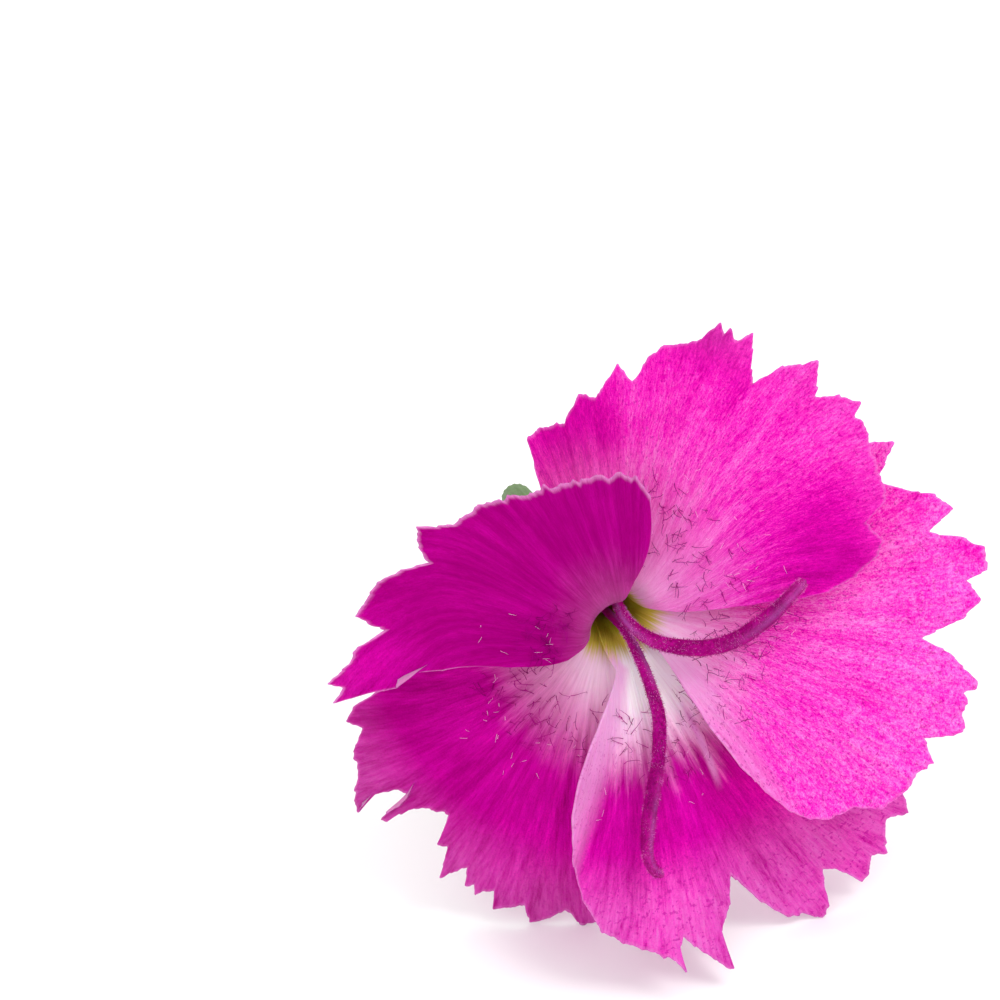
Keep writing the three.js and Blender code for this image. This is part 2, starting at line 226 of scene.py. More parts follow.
class Finish:
    """A material that is built from expressions."""

    def __init__(self, name, **fixed):
        self.material = bpy.data.materials.new(name)
        self.material.use_nodes = True
        self.tree = self.material.node_tree
        self.skin = self.tree.nodes["Principled BSDF"]
        for key, value in fixed.items():
            self.skin.inputs[key.replace("_", " ")].default_value = value

    def node(self, kind, settings=None, inputs=None):
        """Any node: its settings first, then its inputs. Returns its outputs, wrapped."""
        node = self.tree.nodes.new(kind)
        for key, value in (settings or {}).items():
            setattr(node, key, value)
        for key, value in (inputs or {}).items():
            self.feed(node.inputs[key], value)
        return [Value(self, socket) for socket in node.outputs]

    def feed(self, socket, value):
        if isinstance(value, Value):
            self.tree.links.new(value.socket, socket)
        elif isinstance(value, tuple) and len(value) == 3 and socket.type == "RGBA":
            socket.default_value = (*value, 1)
        else:
            socket.default_value = value

    def mix(self, factor, first, second):
        """A colour that goes from first to second."""
        inputs = {0: factor, 6: first, 7: second}
        settings = {"data_type": "RGBA", "clamp_factor": True}
        return self.node("ShaderNodeMix", settings, inputs)[2]

    def vector(self, x, y, z=0.0):
        return self.node("ShaderNodeCombineXYZ", None, {0: x, 1: y, 2: z})[0]

    def noise(self, where, scale, detail=2.0, roughness=0.5):
        inputs = {"Vector": where, "Scale": scale, "Detail": detail, "Roughness": roughness}
        return self.node("ShaderNodeTexNoise", None, inputs)[0]

    def attribute(self, name):
        return self.node("ShaderNodeAttribute", {"attribute_name": name})[2]

    def across_and_along(self):
        """The piece's own map, in millimetres: across it, and along it from its foot."""
        uv = self.node("ShaderNodeUVMap", {"uv_map": "map"})[0]
        x, y, _ = self.node("ShaderNodeSeparateXYZ", None, {0: uv})
        return x * MAP_SIZE, y * MAP_SIZE

    def colour(self, value):
        self.feed(self.skin.inputs["Base Color"], value)

    def rough(self, value):
        self.feed(self.skin.inputs["Roughness"], value)

    def bump(self, height, distance, strength=1.0):
        inputs = {"Height": height, "Distance": distance * MM, "Strength": strength}
        normal = self.node("ShaderNodeBump", None, inputs)[0]
        self.feed(self.skin.inputs["Normal"], normal)


MAP_SIZE = 60
print("a piece's map is", MAP_SIZE, "mm to a side")

# %% [markdown]
# ## One helper that skins a surface
#
# Petals, styles, calyx, bracts and stem are all sheets or tubes that a short formula describes. So
# each starts as bmesh's own flat grid, whose vertices are moved onto the formula's surface. A tube
# is the same grid rolled up, with its seam merged. Each point also gets its place on a map, in
# millimetres across and along, and up to four marks for the materials to read. On a petal they say
# how near the point is to the edge, how much pigment is there together with painted shade and
# highlight, how far it lies beyond the pale zone, and how far it belongs to a pale rim, partly the
# underside and partly painted highlight, or to the painted highlight along a crease.


# %% The skin helper
MARKS = ("edge", "colour", "pale", "rim")
TABLE_GAP = 0.02
SEAM_WIDTH = 0.002


def skin(name, columns, rows, surface, finishes, thickness=0.0, rolled=False):
    """A grid of columns by rows faces, moved onto surface(s, t), which returns a point in the face
    frame, a map place (across, along) and the marks. What would pass through the table lies on it.
    finishes are the materials of its upper side and, where it has a thickness, of its underside."""
    shape = bmesh.new()
    uv = shape.loops.layers.uv.new("map")
    layers = [shape.verts.layers.float.new(mark) for mark in MARKS]
    bmesh.ops.create_grid(shape, x_segments=columns, y_segments=rows, size=1)
    places = {}
    for vertex in shape.verts:
        s = min(max((vertex.co.x + 1) / 2, 0), 1)
        t = min(max((vertex.co.y + 1) / 2, 0), 1)
        point, places[vertex], marks = surface(s, t)
        vertex.co = place @ point
        vertex.co.z = max(vertex.co.z, (thickness + TABLE_GAP) * MM)
        for layer, mark in zip(layers, marks):
            vertex[layer] = mark
    for face in shape.faces:
        face.smooth = True
        for loop in face.loops:
            loop[uv].uv = [v / MAP_SIZE for v in places[loop.vert]]
    if rolled:
        bmesh.ops.remove_doubles(shape, verts=shape.verts, dist=SEAM_WIDTH * MM)
        bmesh.ops.recalc_face_normals(shape, faces=shape.faces)
    mesh = bpy.data.meshes.new(name)
    shape.to_mesh(mesh)
    shape.free()
    piece = put(name, mesh)
    for finish in finishes:
        mesh.materials.append(finish.material)
    if thickness:
        wall = piece.modifiers.new("thickness", "SOLIDIFY")
        wall.thickness = thickness * MM
        wall.offset = -1
        wall.use_even_offset = False
        wall.material_offset = len(finishes) - 1
        wall.material_offset_rim = 0
    print(name, len(mesh.polygons), "faces")
    return piece


def soft_step(value, low, high):
    x = min(max((value - low) / (high - low), 0), 1)
    return x * x * (3 - 2 * x)


def mix(a, b, share):
    return a + (b - a) * share


def leg_at(runs, share):
    """Which leg of a broken line holds a share of its whole length, and the share of that leg."""
    left = share * sum(runs)
    i = 0
    while i < len(runs) - 1 and left > runs[i]:
        left -= runs[i]
        i += 1
    return i, left / runs[i]


# %% [markdown]
# ## Petal form
#
# Each petal has a narrow claw that runs up the tube, a bend, and a broad blade with a toothed edge.
# The blade is a fan of spokes: every spoke leaves the bend in its own direction and ends on the
# edge, at a tooth's tip, in a notch, or in between. A list of tips and notches, as direction and
# reach from the mouth, is all the outline needs. Height above the face is a slope that changes
# across the blade, a gentle curl, and on the bottom petal a fold. Ruffles and fine ribs are then
# added, growing towards the edge as they do on a petal that outgrows its own width.
#
# What each petal's entries say, with directions in degrees and lengths in millimetres:
#
# - claw: the claw's direction; mouth: how far the blade opens to either side of it at the bend
# - over: which of its sides lie above a neighbour (1) or below (-1); lip: how far its mouth is moved
# - slope and curl: height gained along the left side, the middle and the right side
# - ruffle: the height of its waves; rims: how much its two sides turn up or down; fold: where the
#   blade folds, and how steeply; crease: the two ends of a thin painted highlight along a ridge
# - tone: its pigment and painted shade together, where 0 is deep and 1 is bright, deeper on petals
#   turned away from the light; clouds: soft round spots that are brighter or deeper, partly pigment
#   and partly painted shade and highlight, each an x, a y, a size and an amount; veil: how much
#   painted sheen, a greyish lilac tint, lies over it
# - streaky: how long its grain is drawn; fan: where its veins gather, and how much
# - pale and glow: how far its pale zone reaches, and spots where it reaches further; blush: how pale
# - pale_rims and edge_pale: how pale its two sides and its teeth are, the sides' pale rims partly
#   the underside a rolled edge shows and partly painted highlight; green: where the green starts
# - edge: its tips and notches, from its left side to its right side

# %% Petal sizes, the same as the CAD model's but for a narrower throat and a thinner blade
CLAW_RADIUS = 1.3
CLAW_HALF_WIDTH = 35
BEND_RADIUS = 2.75
BEND_DEPTH = 4.6
BLADE_START = CLAW_RADIUS + BEND_RADIUS
BLADE_LIFT = 0.45
CLAW_DEPTH = 16.9
PETAL_THICKNESS = 0.16
COLUMNS = 400
ROWS = 96
TUBE_SHARE = 0.16
BEND_SHARE = 0.12
USUAL_BLADE = 16
LIP_REACH = 7.5
SIDE_ROLL = 1.5
EDGE_WIDTH = 0.22
PALE_RIM_WIDTH = 1.3
MAP_RADIUS = 15
THORN = 1.25
NEIGHBOURS = 24
LEAST_TURN = 0.03

# Each petal's tone is partly its pigment and partly painted shade: petals turned away from the light
# get deeper values, those facing it brighter ones.
PETALS = {
    "petal_left": dict(
        claw=140, mouth=(52, 52), over=(1, 1), lip=(1.2, -2.5, 2.2),
        slope=(0.2, 0.5, 1.1), curl=(0, 0, 0), ruffle=0.22, rims=(0.0, -0.5),
        tone=-0.27, clouds=[(-16, -4, 4, 0.3), (-6, -3, 3, -0.05)],
        streaky=0.5, veil=0.1, fan=(115, 0.6), pale=(-2.0, -0.8, -1.4), blush=0.16,
        glow=[], pale_rims=(0.0, 0.0), edge_pale=1.2, green=-2.6,
        edge=[
            (200.5, 11.3), (198, 13.2), (198, 14.1), (200.6, 14.3), (199.4, 15.9), (198.9, 18.2),
            (197.6, 17.6), (196.5, 17.3), (195, 18.2), (192, 16.6), (189, 16.0), (186, 14.1),
            (184, 15.0), (182, 15.8), (174, 14.6), (170, 13.2), (167, 11.7), (163, 12.5),
            (158, 13.0), (153, 11.1), (149, 10.8), (142.4, 10.5), (133, 9.7), (124, 9.2),
            (110.5, 8.9), (96, 8.8), (83.5, 8.8), (78, 8.1), (77, 6.9),
        ],
    ),
    "petal_top": dict(
        claw=68, mouth=(52, 52), over=(-1, 1), lip=(0.1, -1.5, 0.6),
        slope=(0.3, 0.34, 0.24), curl=(0, -1.6, -1.2), ruffle=0.3, rims=(0.0, 0.12),
        tone=0.76,
        # The top petal's spots are painted shade on its left, right and top, and a painted highlight
        # in its middle, where it cups.
        clouds=[(13.5, 3.5, 4, -0.6), (-3, 11, 3.5, -0.6), (6, 17, 3.5, -0.6), (3, 8, 4, 0.2)],
        streaky=0.5, veil=0.4, fan=(68, 0.1), pale=(3.5, 4.0, 1.5), blush=0.3,
        glow=[], pale_rims=(0.0, 0.0), edge_pale=0.7, green=-2.0,
        edge=[
            (123, 7.6), (121, 8.5), (118.6, 10.2), (117.4, 11.6), (112.5, 12.0), (106, 11.7),
            (99, 13.3), (95, 13.0), (89, 15.0), (85, 14.0), (82, 15.5), (79.5, 16.4),
            (73, 17.1), (69.3, 18.8), (68, 18.2), (67, 18.7), (65, 18.1), (63, 19.0),
            (58, 16.3), (55, 18.2), (50, 19.8), (46, 18.1), (43, 19.2), (39.5, 19.8), (38, 19.0),
            (35, 19.2), (30, 18.5), (23, 18.3), (21, 17.9), (18, 16.5), (14, 17.2), (11, 16.7),
            (7, 15.1), (4, 13.5), (2, 11.5),
        ],
    ),
    "petal_right": dict(
        claw=-4, mouth=(52, 40), over=(-1, 1), lip=(0, 0, 0),
        slope=(-0.04, 0.08, 0.15), curl=(0, -0.6, -0.4), ruffle=0.34, rims=(0.0, 0.3),
        tone=0.98, clouds=[(12, -8, 4, -0.1)],
        streaky=0.2, veil=0, fan=(-10, 0.3), pale=(2.5, 3.0, 4.5), blush=0.54,
        glow=[], pale_rims=(0.0, 0.5), edge_pale=0.7, green=-0.3,
        edge=[
            (40, 11.5), (34, 17.5), (32, 19.4), (30, 20.5), (25, 18.4), (22, 19.6), (19, 21.4),
            (16, 22.2), (13, 20.4), (11, 22.3), (9, 23.6), (5.5, 23.6), (4, 22.3), (1, 23.1),
            (-2, 22.0), (-6, 19.5), (-8, 21.4), (-11.5, 23.2), (-13, 23.2), (-14, 22.5),
            (-15.2, 23.0), (-17, 22.8), (-19, 23.3), (-21, 22.7), (-23, 21.1), (-26, 22.3),
            (-29, 21.6), (-32, 21.6), (-37, 21.0), (-40, 19.5), (-44, 19.0), (-47, 18.2),
            (-49, 17.0), (-50.6, 15.1), (-50.9, 13.0), (-50, 11.0),
        ],
    ),
    "petal_bottom": dict(
        claw=-76, mouth=(52, 10), over=(-1, 1), lip=(0, 0, 0),
        slope=(-0.2, -0.06, 0.06), curl=(-2.6, -0.8, 1.0), ruffle=0.25, rims=(0.0, 0.6),
        fold=(-66, 0.18), crease=((-54, 7.0), (-59.5, 13.6)),
        tone=0.14, clouds=[(3, -19, 3.5, 0.45), (15, -15, 5, 0.3), (3, -12, 4, -0.1)],
        streaky=1.0, veil=0.9, fan=(-66, 0.5), pale=(8.5, 4.8, 5.0), blush=0.92,
        glow=[(2.6, -5.0, 2.8, 5.0)], pale_rims=(0.0, 0.8), edge_pale=0.7, green=-0.3,
        edge=[
            (-26, 12.0), (-29, 17.8), (-32, 21.9), (-35, 23.2), (-38, 22.2), (-42, 23.6),
            (-44, 23.0), (-46.3, 23.7), (-47.7, 23.7), (-49.2, 22.2), (-51.3, 21.4), (-54, 23.5),
            (-56, 24.0), (-58, 23.0), (-60.5, 22.6), (-63, 21.0), (-66, 18.4), (-68.9, 20.3),
            (-71.5, 21.4), (-71.4, 23.7), (-73.3, 23.1), (-75.3, 22.1), (-77.9, 21.0),
            (-79.1, 21.7), (-78.5, 23.0), (-80.4, 22.1), (-85.2, 21.2), (-88, 20.8),
            (-92, 20.1), (-96, 18.2), (-99, 16.0), (-100.5, 13.5), (-100.5, 12.0),
        ],
    ),
    "petal_lower_left": dict(
        claw=-148, mouth=(66, 52), over=(-1, -1), lip=(0, 0, 0),
        slope=(-0.1, -0.14, -0.04), curl=(-1, -2.4, -0.4), ruffle=0.3, rims=(0.0, 0.5),
        tone=-0.16, clouds=[(-4, -15, 4.5, 0.3), (-9, -5, 3.5, 0.25), (-2, -9, 2.5, 0.25)],
        streaky=1.0, veil=0.6, fan=(-118, 0.9), pale=(5.5, 3.0, 1.6), blush=0.47,
        glow=[(-1.2, -4.5, 2, 1.2)], pale_rims=(0.0, 0.45), edge_pale=0.7, green=-0.3,
        edge=[
            (-84, 11.0), (-88, 18.0), (-92, 20.1), (-95, 20.7), (-98, 19.6), (-101, 20.3),
            (-104, 21.0), (-106, 19.9), (-108.5, 20.3), (-111, 20.8), (-112.3, 19.6),
            (-115, 20.4), (-116, 19.8), (-117.3, 20.2), (-118.5, 19.0), (-122, 20.5),
            (-124, 18.5), (-125.9, 18.8), (-127.4, 16.8), (-130.5, 17.1), (-134.0, 18.0),
            (-135.2, 18.9), (-135.8, 19.8), (-136.8, 20.0), (-136.9, 19.5), (-136.2, 18.4),
            (-136.4, 17.6), (-138.2, 17.6), (-140.0, 18.5), (-141.3, 19.3), (-141.2, 20.0),
            (-140.3, 20.8), (-142.4, 20.5), (-143.8, 20.0), (-146.4, 19.2), (-150.5, 18.7),
            (-153.6, 17.5), (-156.3, 18.3), (-158.4, 17.4), (-159.3, 16.0), (-159.7, 14.9),
            (-160, 14.2), (-164, 13.6), (-167, 11.5),
        ],
    ),
}


def across(three, s):
    """A smooth curve through values at the left edge, the middle and the right edge."""
    left, middle, right = three
    bow = middle - (left + right) / 2
    return mix(left, right, s) + 4 * bow * s * (1 - s)


def outline(edge):
    """Returns edge_at(column): the direction and reach of the edge where a column of the mesh ends,
    and both averaged over the column's neighbours. Tips are drawn out like thorns, and the edge is
    finely nibbled all along. The averaged direction never turns back, so that a hooked tooth bends
    only the ends of its spokes."""
    flat = [Vector((r * math.cos(math.radians(d)), r * math.sin(math.radians(d)))) for d, r in edge]
    runs = [(b - a).length for a, b in zip(flat, flat[1:])]
    total = sum(runs)

    def on_edge(s):
        i, share = leg_at(runs, s)
        share = min(share, 1)
        (d0, r0), (d1, r1) = edge[i], edge[i + 1]
        thorn = share ** THORN if r1 > r0 else 1 - (1 - share) ** THORN
        return mix(d0, d1, share), mix(r0, r1, thorn)

    ends = [on_edge(i / COLUMNS) for i in range(COLUMNS + 1)]
    averages = []
    for i in range(COLUMNS + 1):
        window = min(NEIGHBOURS, i, COLUMNS - i)
        near = ends[i - window:i + window + 1]
        spoke, usual_reach = (sum(values) / len(near) for values in zip(*near))
        if averages:
            spoke = min(spoke, averages[-1][0] - LEAST_TURN)
        averages.append((spoke, usual_reach))

    def edge_at(column):
        direction, reach = ends[column]
        s = column / COLUMNS
        nibble = 0.2 * noise.noise(Vector((s * total * 1.5, 0, 7)))
        nibble += 0.14 * noise.noise(Vector((s * total * 3.4, 0, 0)))
        nibble *= soft_step(min(s, 1 - s), 0.0, 0.05)
        return direction, reach + nibble, *averages[column]

    return edge_at


print("petals drawn with", {name: len(p["edge"]) for name, p in PETALS.items()}, "edge points")


# %% A point on a petal
def petal_surface(petal, seed):
    """Returns surface(s, t) for one petal: s runs across it, t from the claw's foot to the teeth.
    share is s as the spokes see it, so that marks which lie along a side keep to that side."""
    edge_at = outline(petal["edge"])
    first, last = petal["edge"][0][0], petal["edge"][-1][0]
    span = math.radians(abs(first - last))
    ends = [edge_at(column) for column in range(COLUMNS + 1)]

    def surface(s, t):
        end_direction, reach, spoke, usual_reach = ends[round(s * COLUMNS)]
        share = (first - spoke) / (first - last)
        lift = BLADE_LIFT * mix(petal["over"][0], petal["over"][1], soft_step(s, 0.1, 0.9))
        direction = petal["claw"] + CLAW_HALF_WIDTH * (1 - 2 * s)
        mouth_direction = petal["claw"] + mix(petal["mouth"][0], -petal["mouth"][1], s)
        radius = CLAW_RADIUS
        drop = 0.0
        rise = 0.0
        edge = 0.0
        if t < TUBE_SHARE:
            drop = mix(CLAW_DEPTH, BEND_DEPTH, t / TUBE_SHARE)
        elif t < TUBE_SHARE + BEND_SHARE:
            turn = (t - TUBE_SHARE) / BEND_SHARE * math.pi / 2
            radius = BLADE_START - BEND_RADIUS * math.cos(turn)
            drop = BEND_DEPTH * (1 - math.sin(turn))
            direction = mix(direction, mouth_direction, 1 - math.cos(turn))
        else:
            along = (t - TUBE_SHARE - BEND_SHARE) / (1 - TUBE_SHARE - BEND_SHARE)
            radius = mix(BLADE_START, reach, along)
            out = radius - BLADE_START
            turned = min(out / (usual_reach - BLADE_START), 1)
            direction = mix(mouth_direction, spoke, 1 - (1 - turned) ** 2)
            direction += (end_direction - spoke) * along ** 6
            fold_direction, fold_slope = petal.get("fold", (0, 0))
            beyond_fold = soft_step(fold_direction - spoke, -4, 8)
            slope = across(petal["slope"], s) + fold_slope * beyond_fold
            rise = slope * out + across(petal["curl"], s) * (out / USUAL_BLADE) ** 2
            rise += petal["ruffle"] * ruffle(direction, out, seed)
            for amount, off_side in zip(petal["rims"], (s, 1 - s)):
                inwards = off_side * span * radius
                rise += amount * max(0, 1 - inwards / SIDE_ROLL) ** 2 * soft_step(out, 0, 3)
            off_edge = min(s, 1 - s) * span * max(radius, 3) + 0.4 * (1 - along)
            edge = soft_step(min(reach - radius, off_edge), EDGE_WIDTH, 0.0)
        raised = soft_step(drop, 1.1 * BEND_DEPTH, 0)
        fade = raised
        if radius > BLADE_START:
            fade = soft_step(radius, BLADE_START + LIP_REACH, BLADE_START)
        axis = tube_direction * drop
        lip = petal["lip"]
        flat_x = radius * math.cos(math.radians(direction))
        flat_y = radius * math.sin(math.radians(direction))
        point = Vector((
            axis.x + flat_x + lip[0] * fade,
            axis.y + flat_y + lip[1] * fade,
            -drop + rise + (lip[2] + lift) * raised,
        ))
        length = CLAW_DEPTH - drop + radius - CLAW_RADIUS
        out = length - CLAW_DEPTH - BEND_RADIUS
        # The colour mark holds pigment together with painted shade and highlight.
        colour = petal["tone"] + spots(petal["clouds"], flat_x, flat_y)
        pale = out - across(petal["pale"], share) - spots(petal["glow"], flat_x, flat_y)
        # The rim mark: pale rims on rolled sides, partly underside and partly painted highlight, and
        # the painted highlight along the bottom petal's crease.
        rim = max(
            strength * soft_step(off_side * span * radius, PALE_RIM_WIDTH, 0.1)
            for strength, off_side in zip(petal["pale_rims"], (share, 1 - share))
        )
        if "crease" in petal:
            rim = max(rim, 1.1 * on_crease(petal["crease"], direction, radius))
        fan_axis, fan_spread = petal["fan"]
        gathered = 1 + fan_spread * max(out, 0) / USUAL_BLADE
        vein = fan_axis + (direction - fan_axis) / gathered
        across_map = math.radians(first - vein) * MAP_RADIUS
        return point, (across_map, length), (edge, colour, pale, rim)

    return surface


# The crease has no ridge in the shape; the thin pale line this masks is a painted highlight.
def on_crease(crease, direction, radius):
    """1 on a thin straight crease, given as its two ends, each a direction and a reach."""
    (d0, r0), (d1, r1) = crease
    middle = mix(d0, d1, (radius - r0) / (r1 - r0))
    off_middle = math.radians(abs(direction - middle)) * radius
    faded = soft_step(radius, r0, r0 + 2) * soft_step(radius, r1, r1 - 2)
    return soft_step(off_middle, 0.35, 0.05) * faded


def spots(places, flat_x, flat_y):
    """The sum of soft round spots, each an x, a y, a size and an amount, at one place."""
    return sum(
        amount * math.exp(-((flat_x - x) ** 2 + (flat_y - y) ** 2) / size ** 2)
        for x, y, size, amount in places
    )


def ruffle(direction, out, seed):
    """Broad waves and fine ribs that grow towards a petal's edge, from -1 to 1 or so."""
    fan = Vector((direction * 0.055, out * 0.09, seed))
    wave = 1.6 * noise.noise(fan * 2.0)
    ribs = 0.5 * math.sin(direction * 0.42 + 2.4 * noise.noise(fan * 0.8) + seed)
    fine = 0.16 * math.sin(direction * 1.9 + 3 * noise.noise(fan))
    return (wave + ribs) * (out / 18) ** 1.5 + fine * soft_step(out, 1, 6)


print("blade starts", BLADE_START, "mm from the mouth's middle")

# %% [markdown]
# ## Petal skin
#
# The upper side is the flower's show. Its colour runs from olive green down in the throat, over a
# pale zone, to saturated magenta, and it does so in streaks, because pigment follows the veins.
# How much lighter or deeper each part of a petal is, pigment and painted shade and highlight
# together, comes with its shape, as a mark on the mesh.
# On top of that the skin is finely grained, because each cell is a tiny dome, and small dark purple
# flecks are scattered over it. A painted sheen, a greyish lilac tint in streaks, lies over the outer
# part of some petals, and the teeth and the very edge are paler where the blade thins out. Along some
# sides a wider pale rim is partly the underside that a rolled edge shows and partly painted
# highlight, and a crease on the bottom petal gets a thin painted highlight. All of it is read off
# the petal's own map, so it follows the petal round its bend. The underside is the same skin with
# less pigment and plainer veins.

# %% Petal finishes
DEEP = (0.32, 0.0, 0.165)
FULL = (0.55, 0.002, 0.325)
VIVID = (0.78, 0.004, 0.44)
BRIGHT = (0.86, 0.06, 0.54)
LIGHT = (0.92, 0.26, 0.68)
PALE = (0.95, 0.60, 0.82)
WHITE = (0.98, 0.90, 0.93)
PAINTED_SHEEN = (0.62, 0.15, 0.49)
FLECK = (0.38, 0.0, 0.24)
RIM = (0.72, 0.28, 0.60)
OCHRE = (0.60, 0.50, 0.07)
OLIVE = (0.34, 0.31, 0.02)


def petal_finish(name, petal, underside=False):
    """One side of a petal: pigment with painted shade and highlight, then painted sheen, pale zone,
    pale rims and a painted crease highlight, veins, flecks and green.
    """
    finish = Finish(
        name, Specular_IOR_Level=0.0, Subsurface_Weight=0.3, Subsurface_Scale=0.0005,
        Subsurface_Radius=(1.0, 0.12, 0.6),
    )
    side, length = finish.across_and_along()
    out = length - (CLAW_DEPTH + BEND_RADIUS)
    # The colour mark: pigment, with painted shade and highlight mixed in.
    tone = finish.attribute("colour")
    seed = petal["claw"] * 0.1
    drawn = mix(3.2, 0.8, petal["streaky"])
    streak = finish.noise(finish.vector(side * 1.7, length * 0.15, seed), 1.0, 3.0, 0.6)
    cloud = finish.noise(finish.vector(side * 0.35, length * 0.25, seed), 1.0, 3.0, 0.6)
    grain = finish.noise(finish.vector(side * 9.5, length * drawn, seed), 1.0, 4.0, 0.75)
    cells = finish.noise(finish.vector(side * 16.0, length * 11.0, seed), 1.0, 2.0, 0.6)

    mottled = tone.between(-0.6, 0.9) * 1.6 + 0.5
    brightness = tone + (cloud - 0.5) * 0.7 + (streak - 0.5) * 0.9
    brightness = brightness + ((grain - 0.5) * 1.05 + (cells - 0.5) * 0.6) * mottled
    colour = finish.mix(brightness.between(-0.5, 0.35), DEEP, FULL)
    colour = finish.mix(brightness.between(0.1, 0.7), colour, VIVID)
    colour = finish.mix(brightness.between(0.45, 1.1), colour, BRIGHT)
    colour = finish.mix(brightness.between(0.8, 1.7), colour, LIGHT)

    # Painted sheen: a greyish lilac tint in streaks over a petal's outer part.
    if petal["veil"]:
        veil = out.between(11.0, 16.0) * (streak + grain * 1.8 - 0.9) * petal["veil"]
        colour = finish.mix(veil, colour, PAINTED_SHEEN)

    past_pale = finish.attribute("pale") + (0.5 - streak) * (petal["blush"] * 7.5)
    past_pale = past_pale + (0.5 - cloud) * 2.5 + (0.5 - grain) * 2.0
    colour = finish.mix(past_pale.between(3.2, -3.2) * petal["blush"], colour, PALE)
    colour = finish.mix(past_pale.between(-1.5, -7.0) * petal["blush"], colour, WHITE)
    # Pale rims, partly underside and partly painted highlight, and the crease's painted highlight.
    rim = finish.attribute("rim")
    colour = finish.mix(rim * (grain + 0.5).at_most(1), colour, RIM)

    vein_wave = finish.noise(finish.vector(side * 2.6, length * 0.06, seed + 3), 1.0, 1.0, 0.4)
    veins = (vein_wave - 0.5).math("ABSOLUTE").between(0.03, 0.0) * out.between(-1.0, 3.0)
    colour = finish.mix(veins * (0.4 if underside else 0.18), colour, DEEP if underside else FULL)

    if underside:
        colour = finish.mix(0.3, colour, PALE)
    else:
        dots = finish.noise(finish.vector(side * 8.5, length * 4.6, seed + 9), 1.0, 1.0, 0.5)
        fleck = dots.between(0.62, 0.68) * out.between(2.0, 6.0) * mottled.between(0.5, 1.7)
        colour = finish.mix(fleck * 0.55, colour, FLECK)

    edge = finish.attribute("edge")
    colour = finish.mix(edge * (grain * petal["edge_pale"]), colour, RIM)
    green_from = out + (streak - 0.5) * 3.0
    colour = finish.mix(green_from.between(petal["green"], petal["green"] - 1.9), colour, OCHRE)
    colour = finish.mix(green_from.between(petal["green"] - 1.7, petal["green"] - 3.7), colour, OLIVE)
    finish.colour(colour)
    finish.rough(0.55 + (grain - 0.5) * 0.3)
    finish.bump(vein_wave * 0.7 + streak * 0.6 + grain * 0.6 + cells * 0.3, 0.2, 0.7)
    return finish


# %% The five petals
petal_shapes = {}
for index, (name, petal) in enumerate(PETALS.items()):
    plain = name.replace("_", " ")
    upper = petal_finish(plain + " upper skin", petal)
    under = petal_finish(plain + " underside", petal, True)
    petal_shapes[name] = petal_surface(petal, 3.7 * index)
    finishes = [upper, under]
    piece = skin(name + "_skin", COLUMNS, ROWS, petal_shapes[name], finishes, PETAL_THICKNESS)
    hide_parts(name)
    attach(piece, "root")

# %% [markdown]
# ## Calyx
#
# The green cup that holds the claws is a tube of fused sepals with five pointed teeth. It is a
# rolled grid: round it goes s, and t climbs from the pole under its floor, over the shoulder and up
# the wall to the wavy rim. Fine ribs run up it, as they do on the real one, and a live thickness
# gives the teeth an edge. The tube leans away from the face, so the calyx, its bracts and the stem
# are all drawn about the tube's own axis.

# %% Tube axis and calyx
tube_axis = tube_direction.normalized()
tube_turn = Vector((0, 1, 0)).rotation_difference(-tube_axis).to_matrix().to_4x4()
CALYX_OUTER = 2.67
CALYX_BELLY = 0.15
CALYX_TOOTH = 3.6
CALYX_TEETH = 5
CALYX_ROUND = 17
CALYX_THICKNESS = 0.22


def round_tube(turn, radius, height):
    """A point at a turn in degrees round the tube's axis, a radius and a height along it."""
    angle = math.radians(turn)
    return tube_turn @ Vector((math.sin(angle) * radius, height, math.cos(angle) * radius))


def along_profile(profile, share):
    """The radius and height at a share of the way along a list of corners."""
    step = share * (len(profile) - 1)
    i = min(int(step), len(profile) - 2)
    (r0, h0), (r1, h1) = profile[i], profile[i + 1]
    return mix(r0, r1, step - i), mix(h0, h1, step - i)


def calyx_surface(s, t):
    from_tip = abs(2 * ((s * CALYX_TEETH) % 1) - 1)
    rim = -CALYX_TOP - 0.95 * CALYX_TOOTH * from_tip ** 0.8
    profile = [
        (0, -CALYX_BASE),
        (STEM_RADIUS, -CALYX_BASE),
        (CALYX_OUTER - 0.35, -CALYX_BASE + 1),
        (CALYX_OUTER + CALYX_BELLY / 2, -CALYX_BASE + 3),
        (CALYX_OUTER + CALYX_BELLY, -CALYX_BASE + CALYX_LENGTH / 2),
        (CALYX_OUTER, -CALYX_TOP - CALYX_TOOTH),
        (CALYX_OUTER, rim),
    ]
    radius, height = along_profile(profile, t)
    ribs = abs(math.sin(s * 35 * math.pi)) ** 0.6
    radius -= 0.05 * ribs * min(radius / CALYX_OUTER, 1)
    tip = soft_step(height, -CALYX_TOP - CALYX_TOOTH, -CALYX_TOP)
    place_on_map = (s * CALYX_ROUND, height + CALYX_BASE)
    return round_tube(s * 360 - 180, radius, height), place_on_map, (tip, ribs)


